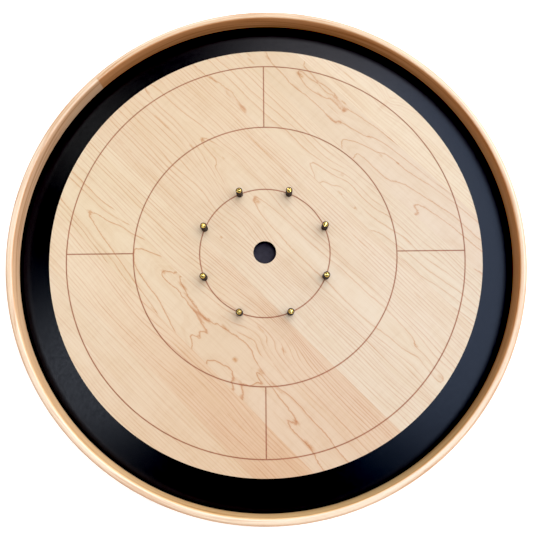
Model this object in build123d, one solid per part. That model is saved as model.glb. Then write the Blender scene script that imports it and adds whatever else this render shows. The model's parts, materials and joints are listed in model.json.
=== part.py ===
from build123d import *
import os
from math import cos, hypot, radians, sin

# Crokinole board, in millimetres. +Z is up, the board's centre is on the Z axis and the feet stand on Z = 0.

# ---- driving dimensions: round boards -------------------------------------------------------------------
DECK_RADIUS = 330.2            # 26 in playing surface
BASE_RADIUS = 381.5            # its outer band is the floor of the ditch
BASE_THICKNESS = 12.7
RISER_THICKNESS = 6.35         # disc between the base and the deck, and floor of the 20-hole
CORE_THICKNESS = 11.5
VENEER_THICKNESS = 0.6
HOLE_RADIUS = 17.4625          # 1 3/8 in "20" hole in the middle of the deck

# ---- driving dimensions: rim ----------------------------------------------------------------------------
RIM_PLY = 5.7                  # each of the two bent strips
RIM_HEIGHT = 44.45             # its foot is level with the base's underside
RIM_ABOVE_DECK = 12.7
RIM_INNER_EDGE_ROUND = 3.0     # the rim's top edges: softly rounded inside,
RIM_OUTER_EDGE_ROUND = 5.0     # well rounded outside
RIM_FOOT_ROUND = 1.2
RIM_JOINT_GAP = 0.25           # the glued butt joint where a strip's two ends meet
INNER_JOINT_ANGLE = 133.3      # degrees anticlockwise from +X
OUTER_JOINT_ANGLE = 305.0

# ---- driving dimensions: face veneer and scored lines ---------------------------------------------------
GRAIN_ANGLE = -45.0            # the leaves run along this direction
WIDE_LEAF_LOW = -50.0          # the wide leaf's lower seam, measured across the grain from the centre
WIDE_LEAF_HIGH = 138.0
NARROW_LEAF_WIDTH = 65.0
LEAVES_BELOW = 4
LEAVES_ABOVE = 3
SCORE_RADII = (99.5, 201.0, 303.8)     # nominally 4, 8 and 12 in lines
SCORE_WIDTH = 1.0
SCORE_DEPTH = 0.35

# ---- driving dimensions: posts --------------------------------------------------------------------------
POST_COUNT = 8
POST_FIRST_ANGLE = 22.5
SLEEVE_OUTER_RADIUS = 5.0
SLEEVE_HEIGHT = 19.05
SCREW_RADIUS = 2.1             # #8 wood screw
SCREW_HEAD_RADIUS = 4.0
SCREW_HEAD_HEIGHT = 3.5
SCREW_LENGTH = 38.1            # below the head
SCREW_POINT = 4.0
SLOT_WIDTH = 1.0
SLOT_DEPTH = 1.7
SLEEVE_CLEARANCE = 0.05
WOOD_CLEARANCE = 0.05

# ---- driving dimensions: screws from beneath ------------------------------------------------------------
DECK_SCREW_COUNT = 8
DECK_SCREW_CIRCLE = 254.0
DECK_SCREW_LENGTH = 25.4
FLAT_HEAD_RADIUS = 4.1
FLAT_HEAD_HEIGHT = 2.4

# ---- driving dimensions: feet ---------------------------------------------------------------------------
FOOT_COUNT = 4
FOOT_FIRST_ANGLE = 45.0
FOOT_CIRCLE = 335.0
FOOT_HEIGHT = 8.0
FOOT_TOP_RADIUS = 12.5
FOOT_BOTTOM_RADIUS = 11.0
FOOT_WELL_RADIUS = 5.0
FOOT_WEB = 3.4
FOOT_SCREW_RADIUS = 1.8
FOOT_SCREW_LENGTH = 12.7
FOOT_SCREW_HEAD_RADIUS = 3.6
FOOT_SCREW_HEAD_HEIGHT = 2.2

# ---- driving dimensions: wall hanger --------------------------------------------------------------------
HINGE_Y = 338.0
RING_WIRE_RADIUS = 1.5
RING_HALF_WIDTH = 12.5         # to the middle of the wire
RING_LEG = 5.0
RING_CORNER = 4.0
HINGE_CLEARANCE = 0.06
STRAP_THICKNESS = 1.2
STRAP_WIDTH = 15.0
STRAP_LENGTH = 32.0            # from the hinge to the strap's far end
HANGER_SCREW_OFFSETS = (12.0, 24.0)    # from the hinge
HANGER_SCREW_RADIUS = 1.8
HANGER_SCREW_LENGTH = 9.5
HANGER_HEAD_RADIUS = 3.4
HANGER_HEAD_HEIGHT = 1.9

# ---- levels worked out from the driving dimensions ------------------------------------------------------
BASE_Z = FOOT_HEIGHT
RISER_Z = BASE_Z + BASE_THICKNESS
BACKING_Z = RISER_Z + RISER_THICKNESS
CORE_Z = BACKING_Z + VENEER_THICKNESS
FACE_Z = CORE_Z + CORE_THICKNESS
DECK_TOP = FACE_Z + VENEER_THICKNESS
RIM_TOP = DECK_TOP + RIM_ABOVE_DECK
RIM_Z = RIM_TOP - RIM_HEIGHT
SLEEVE_TOP = DECK_TOP + SLEEVE_HEIGHT
POST_CIRCLE = SCORE_RADII[0]

os.makedirs("parts", exist_ok=True)


def save(shape, name):
    """Write one sub-part to its own STEP file."""
    export_step(shape, f"parts/{name}.step")


def rod(radius, low, high, x=0.0, y=0.0):
    """Upright cylinder between two levels."""
    return Pos(x, y, (low + high) / 2) * Cylinder(radius, high - low)


def cone(low_radius, high_radius, low, high, x=0.0, y=0.0):
    """Upright cone between two levels."""
    return Pos(x, y, (low + high) / 2) * Cone(low_radius, high_radius, high - low)


def on_circle(radius, count, first_angle):
    """Evenly spaced places on a circle, as (angle, x, y)."""
    angles = [first_angle + 360.0 * i / count for i in range(count)]
    return [(a, radius * cos(radians(a)), radius * sin(radians(a))) for a in angles]


POSTS = on_circle(POST_CIRCLE, POST_COUNT, POST_FIRST_ANGLE)
DECK_SCREWS = on_circle(DECK_SCREW_CIRCLE, DECK_SCREW_COUNT, 0.0)
FEET = on_circle(FOOT_CIRCLE, FOOT_COUNT, FOOT_FIRST_ANGLE)
HANGER_SCREWS = [(0.0, HINGE_Y - offset) for offset in HANGER_SCREW_OFFSETS]


# ---- screws ---------------------------------------------------------------------------------------------
def round_head_screw(x, y, head_z, slot_angle):
    """Slotted round-head wood screw that hangs down from the underside of its head."""
    tip = head_z - SCREW_LENGTH
    shank = rod(SCREW_RADIUS, tip + SCREW_POINT, head_z)
    point = cone(0.3, SCREW_RADIUS, tip, tip + SCREW_POINT)
    ball_radius = (SCREW_HEAD_RADIUS**2 + SCREW_HEAD_HEIGHT**2) / (2 * SCREW_HEAD_HEIGHT)
    ball = Pos(0, 0, head_z + SCREW_HEAD_HEIGHT - ball_radius) * Sphere(ball_radius)
    head = ball & rod(SCREW_HEAD_RADIUS, head_z, head_z + SCREW_HEAD_HEIGHT)
    slot_z = head_z + SCREW_HEAD_HEIGHT - SLOT_DEPTH / 2
    slot = Pos(0, 0, slot_z) * Rot(0, 0, slot_angle) * Box(3 * SCREW_HEAD_RADIUS, SLOT_WIDTH, SLOT_DEPTH)
    return Pos(x, y, 0) * (shank + point + head - slot)


def cross_slot(x, y, low, high, length, width):
    """The recess of a cross-head screw."""
    middle = (low + high) / 2
    height = high - low
    return Pos(x, y, middle) * (Box(length, width, height) + Box(width, length, height))


def flat_head_screw(x, y, face_z):
    """Countersunk screw driven upwards, with its head flush with face_z."""
    tip = face_z + DECK_SCREW_LENGTH
    head = cone(FLAT_HEAD_RADIUS, SCREW_RADIUS, face_z, face_z + FLAT_HEAD_HEIGHT, x, y)
    shank = rod(SCREW_RADIUS, face_z + FLAT_HEAD_HEIGHT, tip - SCREW_POINT, x, y)
    point = cone(SCREW_RADIUS, 0.3, tip - SCREW_POINT, tip, x, y)
    return head + shank + point - cross_slot(x, y, face_z, face_z + 1.4, 4.4, 1.0)


def pan_head_screw(x, y, face_z, radius, length, head_radius, head_height):
    """Round-edged screw driven upwards, with its head below face_z."""
    head = rod(head_radius, face_z - head_height, face_z, x, y)
    head = fillet(head.edges().sort_by(Axis.Z)[0], 0.6 * head_height)
    tip = face_z + length
    shank = rod(radius, face_z, tip - SCREW_POINT, x, y)
    point = cone(radius, 0.3, tip - SCREW_POINT, tip, x, y)
    recess = cross_slot(x, y, face_z - head_height, face_z - 0.5 * head_height, 1.1 * head_radius, 0.9)
    return head + shank + point - recess


# ---- base board -----------------------------------------------------------------------------------------
def base_board():
    """Bottom disc, drilled for the deck screws, the feet and the hanger."""
    board = rod(BASE_RADIUS, BASE_Z, RISER_Z)
    for _, x, y in DECK_SCREWS:
        board -= rod(SCREW_RADIUS + WOOD_CLEARANCE, BASE_Z, RISER_Z, x, y)
        flare_low = FLAT_HEAD_RADIUS + WOOD_CLEARANCE
        flare_high = SCREW_RADIUS + WOOD_CLEARANCE
        board -= cone(flare_low, flare_high, BASE_Z, BASE_Z + FLAT_HEAD_HEIGHT, x, y)
    foot_screw_tip = FOOT_HEIGHT - FOOT_WEB + FOOT_SCREW_LENGTH
    for _, x, y in FEET:
        board -= rod(FOOT_SCREW_RADIUS + WOOD_CLEARANCE, BASE_Z, foot_screw_tip, x, y)
    hanger_tip = BASE_Z - STRAP_THICKNESS + HANGER_SCREW_LENGTH
    for x, y in HANGER_SCREWS:
        board -= rod(HANGER_SCREW_RADIUS + WOOD_CLEARANCE, BASE_Z, hanger_tip, x, y)
    return board


# ---- riser and deck -------------------------------------------------------------------------------------
def drilled_disc(low, high, post_hole, deck_screw_top, centre_hole=HOLE_RADIUS):
    """Disc of the deck's size with the 20-hole, the post holes and the deck screws' pilot holes."""
    disc = rod(DECK_RADIUS, low, high)
    if centre_hole > 0:
        disc -= rod(centre_hole, low, high)
    for _, x, y in POSTS:
        disc -= rod(post_hole, low, high, x, y)
    if deck_screw_top > low:
        for _, x, y in DECK_SCREWS:
            disc -= rod(SCREW_RADIUS + WOOD_CLEARANCE, low, min(high, deck_screw_top), x, y)
    return disc


def scored_lines():
    """The cutter that leaves the three circles and the four quadrant lines in the face veneer."""
    low = DECK_TOP - SCORE_DEPTH
    high = DECK_TOP + 1.0
    half = SCORE_WIDTH / 2
    cutter = [rod(r + half, low, high) - rod(r - half, low, high) for r in SCORE_RADII]
    inner, outer = SCORE_RADII[1], SCORE_RADII[2]
    for quarter in range(4):
        line = Pos((inner + outer) / 2, 0, (low + high) / 2) * Box(outer - inner, SCORE_WIDTH, high - low)
        cutter.append(Rot(0, 0, 90.0 * quarter) * line)
    return cutter


def leaf_edges():
    """Seams between the leaves, measured across the grain, with the deck's own edges at the ends."""
    below = [WIDE_LEAF_LOW - NARROW_LEAF_WIDTH * i for i in range(LEAVES_BELOW)]
    above = [WIDE_LEAF_HIGH + NARROW_LEAF_WIDTH * i for i in range(LEAVES_ABOVE)]
    return [-DECK_RADIUS] + sorted(below) + above + [DECK_RADIUS]


def face_leaves():
    """The face veneer, cut along its seams into leaves."""
    face = drilled_disc(FACE_Z, DECK_TOP, SCREW_RADIUS + WOOD_CLEARANCE, 0.0)
    for cutter in scored_lines():
        face -= cutter
    edges = leaf_edges()
    leaves = []
    for low, high in zip(edges[:-1], edges[1:]):
        band = Pos(0, (low + high) / 2, DECK_TOP) * Box(2.2 * DECK_RADIUS, high - low, 4 * VENEER_THICKNESS)
        leaves.append(face & (Rot(0, 0, GRAIN_ANGLE) * band))
    return leaves


# ---- rim ------------------------------------------------------------------------------------------------
def rim_ply(inner_radius, rounded_side, top_round, joint_angle):
    """One bent strip of the rim: a ring, rounded along one top and one bottom edge, open at its joint."""
    centre = (inner_radius + RIM_PLY / 2, (RIM_Z + RIM_TOP) / 2)
    section = Pos(*centre) * Rectangle(RIM_PLY, RIM_HEIGHT)
    corners = section.vertices().sort_by(Axis.X)
    pair = corners[:2] if rounded_side == "inner" else corners[2:]
    low_corner, high_corner = pair.sort_by(Axis.Y)
    section = fillet(high_corner, top_round)
    foot_corner = min(section.vertices(), key=lambda v: hypot(v.X - low_corner.X, v.Y - low_corner.Y))
    section = fillet(foot_corner, RIM_FOOT_ROUND)
    ring = Rot(0, 0, joint_angle + 180) * revolve(Plane.XZ * section, Axis.Z)
    saw = Pos(centre[0], 0, centre[1]) * Box(4 * RIM_PLY, RIM_JOINT_GAP, 2 * RIM_HEIGHT)
    return ring - Rot(0, 0, joint_angle) * saw


# ---- feet and hanger ------------------------------------------------------------------------------------
def foot(x, y):
    """Tapered rubber foot with a well for its screw."""
    body = cone(FOOT_BOTTOM_RADIUS, FOOT_TOP_RADIUS, 0, FOOT_HEIGHT)
    body = fillet(body.edges().sort_by(Axis.Z)[0], 1.0)
    well = rod(FOOT_WELL_RADIUS, 0, FOOT_HEIGHT - FOOT_WEB)
    shank_hole = rod(FOOT_SCREW_RADIUS + WOOD_CLEARANCE, 0, FOOT_HEIGHT)
    return Pos(x, y, 0) * (body - well - shank_hole)


def hinge_z():
    """Level of the D-ring's bar, with the strap's loop round it touching the base board."""
    return BASE_Z - STRAP_THICKNESS - HINGE_CLEARANCE - RING_WIRE_RADIUS


def hanger_ring():
    """D-ring at rest, lying flat and pointing away from the board's centre."""
    legs = Pos(0, RING_LEG / 2) * Rectangle(2 * RING_HALF_WIDTH, RING_LEG)
    legs = fillet(legs.vertices().sort_by(Axis.Y)[:2], RING_CORNER)
    bow = Pos(0, RING_LEG) * Circle(RING_HALF_WIDTH)
    bow &= Pos(0, RING_LEG + RING_HALF_WIDTH / 2) * Rectangle(3 * RING_HALF_WIDTH, RING_HALF_WIDTH)
    path = (legs + bow).face().outer_wire()
    wire = Plane(path @ 0, z_dir=path % 0) * Circle(RING_WIRE_RADIUS)
    return Pos(0, HINGE_Y, hinge_z()) * sweep(wire, path)


def hanger_strap():
    """Steel strap screwed to the base board, with its end curled round the D-ring's bar."""
    inner = RING_WIRE_RADIUS + HINGE_CLEARANCE
    outer = inner + STRAP_THICKNESS
    along_x = Rot(0, 90, 0)
    hinge = Pos(0, HINGE_Y, hinge_z()) * along_x
    loop = hinge * (Cylinder(outer, STRAP_WIDTH) - Cylinder(inner, STRAP_WIDTH))
    mouth = Pos(0, HINGE_Y - outer / 2, hinge_z() + inner / 2) * Box(2 * STRAP_WIDTH, outer, inner)
    plate_z = BASE_Z - STRAP_THICKNESS / 2
    plate = Pos(0, HINGE_Y - STRAP_LENGTH / 2, plate_z) * Box(STRAP_WIDTH, STRAP_LENGTH, STRAP_THICKNESS)
    far_corners = plate.edges().filter_by(Axis.Z).sort_by(Axis.Y)[:2]
    plate = fillet(far_corners, 0.3 * STRAP_WIDTH) - hinge * Cylinder(inner, 2 * STRAP_WIDTH)
    strap = loop - mouth + plate
    for x, y in HANGER_SCREWS:
        strap -= rod(HANGER_SCREW_RADIUS + WOOD_CLEARANCE, BASE_Z - STRAP_THICKNESS, BASE_Z, x, y)
    return strap


# ---- write every sub-part -------------------------------------------------------------------------------
save(base_board(), "base_board")
deck_screw_top = BASE_Z + DECK_SCREW_LENGTH
pilot = SCREW_RADIUS + WOOD_CLEARANCE
save(drilled_disc(RISER_Z, BACKING_Z, pilot, deck_screw_top, 0.0), "deck_riser")
save(drilled_disc(BACKING_Z, CORE_Z, pilot, deck_screw_top), "deck_backing_veneer")
save(drilled_disc(CORE_Z, FACE_Z, pilot, deck_screw_top), "deck_core")
for number, leaf in enumerate(face_leaves(), start=1):
    save(leaf, f"face_veneer_leaf_{number}")

save(rim_ply(BASE_RADIUS, "inner", RIM_INNER_EDGE_ROUND, INNER_JOINT_ANGLE), "rim_inner_ply")
save(rim_ply(BASE_RADIUS + RIM_PLY, "outer", RIM_OUTER_EDGE_ROUND, OUTER_JOINT_ANGLE), "rim_outer_ply")

for number, (angle, x, y) in enumerate(POSTS, start=1):
    slot_angle = 67.0 * number
    save(round_head_screw(x, y, SLEEVE_TOP, slot_angle), f"post_screw_{number}")
    tube = rod(SLEEVE_OUTER_RADIUS, DECK_TOP, SLEEVE_TOP, x, y)
    tube -= rod(SCREW_RADIUS + SLEEVE_CLEARANCE, DECK_TOP, SLEEVE_TOP, x, y)
    save(tube, f"post_sleeve_{number}")

save(Compound([flat_head_screw(x, y, BASE_Z) for _, x, y in DECK_SCREWS]), "deck_screws")

for number, (_, x, y) in enumerate(FEET, start=1):
    save(foot(x, y), f"foot_{number}")
foot_head = (FOOT_SCREW_RADIUS, FOOT_SCREW_LENGTH, FOOT_SCREW_HEAD_RADIUS, FOOT_SCREW_HEAD_HEIGHT)
foot_screw_z = FOOT_HEIGHT - FOOT_WEB
save(Compound([pan_head_screw(x, y, foot_screw_z, *foot_head) for _, x, y in FEET]), "foot_screws")

hanger_head = (HANGER_SCREW_RADIUS, HANGER_SCREW_LENGTH, HANGER_HEAD_RADIUS, HANGER_HEAD_HEIGHT)
strap_z = BASE_Z - STRAP_THICKNESS
save(hanger_strap(), "hanger_strap")
save(hanger_ring(), "hanger_ring")
save(Compound([pan_head_screw(x, y, strap_z, *hanger_head) for x, y in HANGER_SCREWS]), "hanger_screws")
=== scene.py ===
import json
from math import ceil, cos, hypot, pi, radians, sin

import bmesh
import bpy
import numpy as np
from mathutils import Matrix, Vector


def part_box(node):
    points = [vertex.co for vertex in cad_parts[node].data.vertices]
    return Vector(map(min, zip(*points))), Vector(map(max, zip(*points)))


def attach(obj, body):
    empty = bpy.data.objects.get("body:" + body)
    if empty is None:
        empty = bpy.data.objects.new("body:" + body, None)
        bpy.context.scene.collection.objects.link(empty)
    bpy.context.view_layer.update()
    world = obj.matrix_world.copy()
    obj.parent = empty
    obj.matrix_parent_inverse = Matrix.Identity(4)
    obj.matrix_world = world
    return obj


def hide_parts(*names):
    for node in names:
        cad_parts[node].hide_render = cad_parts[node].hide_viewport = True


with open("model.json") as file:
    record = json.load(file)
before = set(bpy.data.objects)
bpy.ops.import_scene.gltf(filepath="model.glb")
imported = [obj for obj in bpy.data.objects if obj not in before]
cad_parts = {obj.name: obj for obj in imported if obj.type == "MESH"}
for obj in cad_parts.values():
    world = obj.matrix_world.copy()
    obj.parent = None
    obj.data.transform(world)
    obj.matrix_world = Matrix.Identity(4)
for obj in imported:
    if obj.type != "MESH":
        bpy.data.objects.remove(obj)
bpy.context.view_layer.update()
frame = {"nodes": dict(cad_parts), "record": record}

# A crokinole board. Lengths are metres, except in materials and under names that end in _MM or _mm, where
# they are millimetres. The frame gives the levels and the radii of the base and the hole.

# ---- sizes read from the frame --------------------------------------------------------------------------
BASE_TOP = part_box("base_board")[1].z
BASE_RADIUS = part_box("base_board")[1].x
RISER_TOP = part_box("deck_riser")[1].z
BACKING_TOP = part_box("deck_backing_veneer")[1].z
CORE_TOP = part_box("deck_core")[1].z
DECK_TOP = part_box("face_veneer_leaf_5")[1].z
RIM_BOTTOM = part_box("rim_inner_ply")[0].z
RIM_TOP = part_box("rim_inner_ply")[1].z
HOLE_RADIUS = frame["record"]["mounts"][0]["dims"]["r_mm"] / 1000

# ---- driving sizes, as in the CAD model -----------------------------------------------------------------
DECK_RADIUS = 0.3302
RIM_PLY = 0.0057
RIM_INNER_EDGE_ROUND = 0.003
RIM_OUTER_EDGE_ROUND = 0.005
RIM_FOOT_ROUND = 0.0012
RIM_JOINT_GAP = 0.00025
PAINT_RISE = 0.005             # how far the ditch's paint runs up the rim
INNER_JOINT_ANGLE = radians(133.3)
OUTER_JOINT_ANGLE = radians(305.0)
SCORE_RADII = (0.0995, 0.201, 0.3038)
SCORE_WIDTH = 0.001
SCORE_DEPTH = 0.00035
LEAF_SEAMS_MM = (-245.0, -180.0, -115.0, -50.0, 138.0, 203.0, 268.0)
GRAIN_ANGLE = radians(-45.0)
POST_COUNT = 8
FOOT_COUNT = 4

# ---- finer points of the meshes -------------------------------------------------------------------------
ACROSS_GRAIN = Vector((-sin(GRAIN_ANGLE), cos(GRAIN_ANGLE), 0.0))
TURN_STEPS = 720               # segments of the large round pieces
DECK_STEPS = 480               # segments of the deck's leaves
FIGURE_CELL = 0.004            # largest cell of the leaves, which hold the growth lines' levels
CUT_TOLERANCE = 1e-7
CORE_EASE = 0.0002             # the core's cut corners
BACKING_EASE = 0.00005
SMALL_ROUND_STEPS = 6          # segments of the rim's smaller roundings
OUTER_ROUND_STEPS = 14
SHARP_ANGLE = radians(35)      # edges that turn more than this look sharp


# ---- shader arithmetic ----------------------------------------------------------------------------------
class Graph:
    """One material's node tree, written as arithmetic on Term values."""

    def __init__(self, name):
        self.material = bpy.data.materials.new(name)
        self.material.use_nodes = True
        self.tree = self.material.node_tree
        self.tree.nodes.clear()
        output = self.tree.nodes.new("ShaderNodeOutputMaterial")
        self.shader = self.tree.nodes.new("ShaderNodeBsdfPrincipled")
        self.tree.links.new(self.shader.outputs[0], output.inputs[0])

    def node(self, kind, **settings):
        made = self.tree.nodes.new(kind)
        for key, value in settings.items():
            setattr(made, key, value)
        return made

    def feed(self, socket, value):
        """Give a socket a Term, a number or a colour."""
        if isinstance(value, Term):
            self.tree.links.new(value.socket, socket)
        else:
            socket.default_value = value

    def math(self, operation, *values):
        made = self.node("ShaderNodeMath", operation=operation)
        for socket, value in zip(made.inputs, values):
            self.feed(socket, value)
        return Term(self, made.outputs[0])

    def place(self, turn=0.0):
        """Object coordinates in millimetres, turned about Z."""
        coordinates = self.node("ShaderNodeTexCoord")
        mapping = self.node("ShaderNodeMapping")
        self.tree.links.new(coordinates.outputs["Object"], mapping.inputs["Vector"])
        mapping.inputs["Rotation"].default_value = (0, 0, turn)
        mapping.inputs["Scale"].default_value = (1000, 1000, 1000)
        split = self.node("ShaderNodeSeparateXYZ")
        self.tree.links.new(mapping.outputs[0], split.inputs[0])
        return [Term(self, socket) for socket in split.outputs]

    def vector(self, x, y, z):
        made = self.node("ShaderNodeCombineXYZ")
        for socket, value in zip(made.inputs, (x, y, z)):
            self.feed(socket, value)
        return Term(self, made.outputs[0])

    def noise(self, x, y, z, detail=2.0, roughness=0.5):
        """Noise from 0 to 1. A coordinate given as a pair, with a length, has features about that long."""
        place = [given[0] * (1 / given[1]) if isinstance(given, tuple) else given for given in (x, y, z)]
        made = self.node("ShaderNodeTexNoise")
        self.feed(made.inputs["Vector"], self.vector(*place))
        made.inputs["Scale"].default_value = 1.0
        made.inputs["Detail"].default_value = detail
        made.inputs["Roughness"].default_value = roughness
        return Term(self, made.outputs[0])

    def random(self, w):
        """A steady random number from 0 to 1 for each value of w."""
        made = self.node("ShaderNodeTexWhiteNoise", noise_dimensions="1D")
        self.feed(made.inputs["W"], w)
        return Term(self, made.outputs["Value"])

    def ramp(self, value, low, high):
        """0 at low, 1 at high and smooth between."""
        made = self.node("ShaderNodeMapRange", interpolation_type="SMOOTHSTEP")
        for socket, given in zip(made.inputs, (value, low, high)):
            self.feed(socket, given)
        return Term(self, made.outputs[0])

    def blend(self, share, first, second, how="MIX"):
        """Mix two colours."""
        made = self.node("ShaderNodeMix", data_type="RGBA", blend_type=how)
        self.feed(made.inputs[0], share)
        self.feed(made.inputs[6], first)
        self.feed(made.inputs[7], second)
        return Term(self, made.outputs[2])

    def shade(self, share, color, tint):
        """Multiply a colour by a tint, in some share."""
        return self.blend(share, color, (*tint, 1.0), "MULTIPLY")

    def stain(self, color, stains):
        """Shade a colour by patterns: each acts between two of its levels, up to a share of its tint."""
        for pattern, none, full, share, tint in stains:
            color = self.shade(self.ramp(pattern, none, full) * share, color, tint)
        return color

    def bump(self, height, depth_mm, strength):
        made = self.node("ShaderNodeBump")
        made.inputs["Strength"].default_value = strength
        made.inputs["Distance"].default_value = depth_mm / 1000
        self.feed(made.inputs["Height"], height)
        self.tree.links.new(made.outputs[0], self.shader.inputs["Normal"])

    def finish(self, color, roughness, **others):
        """Set the shader's own sockets and hand back the material."""
        self.feed(self.shader.inputs["Base Color"], color)
        self.feed(self.shader.inputs["Roughness"], roughness)
        for name, value in others.items():
            self.feed(self.shader.inputs[name.replace("_", " ").title().replace("Ior", "IOR")], value)
        return self.material


class Term:
    """A socket that takes part in arithmetic."""

    def __init__(self, graph, socket):
        self.graph = graph
        self.socket = socket

    def __add__(self, other):
        return self.graph.math("ADD", self, other)

    def __sub__(self, other):
        return self.graph.math("SUBTRACT", self, other)

    def __rsub__(self, other):
        return self.graph.math("SUBTRACT", other, self)

    def __mul__(self, other):
        return self.graph.math("MULTIPLY", self, other)

    def __truediv__(self, other):
        return self.graph.math("DIVIDE", self, other)

    def __neg__(self):
        return self.graph.math("MULTIPLY", self, -1.0)

    def floor(self):
        return self.graph.math("FLOOR", self)

    def fract(self):
        return self.graph.math("FRACT", self)

    def abs(self):
        return self.graph.math("ABSOLUTE", self)

    def sqrt(self):
        return self.graph.math("SQRT", self)

    def exp(self):
        return self.graph.math("EXPONENT", self)

    def atleast(self, other):
        return self.graph.math("MAXIMUM", self, other)

    def atmost(self, other):
        return self.graph.math("MINIMUM", self, other)


def srgb(red, green, blue):
    """Linear colour from screen values of 0 to 255."""
    def linear(value):
        share = value / 255
        return share / 12.92 if share <= 0.04045 else ((share + 0.055) / 1.055) ** 2.4
    return (linear(red), linear(green), linear(blue), 1.0)


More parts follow.
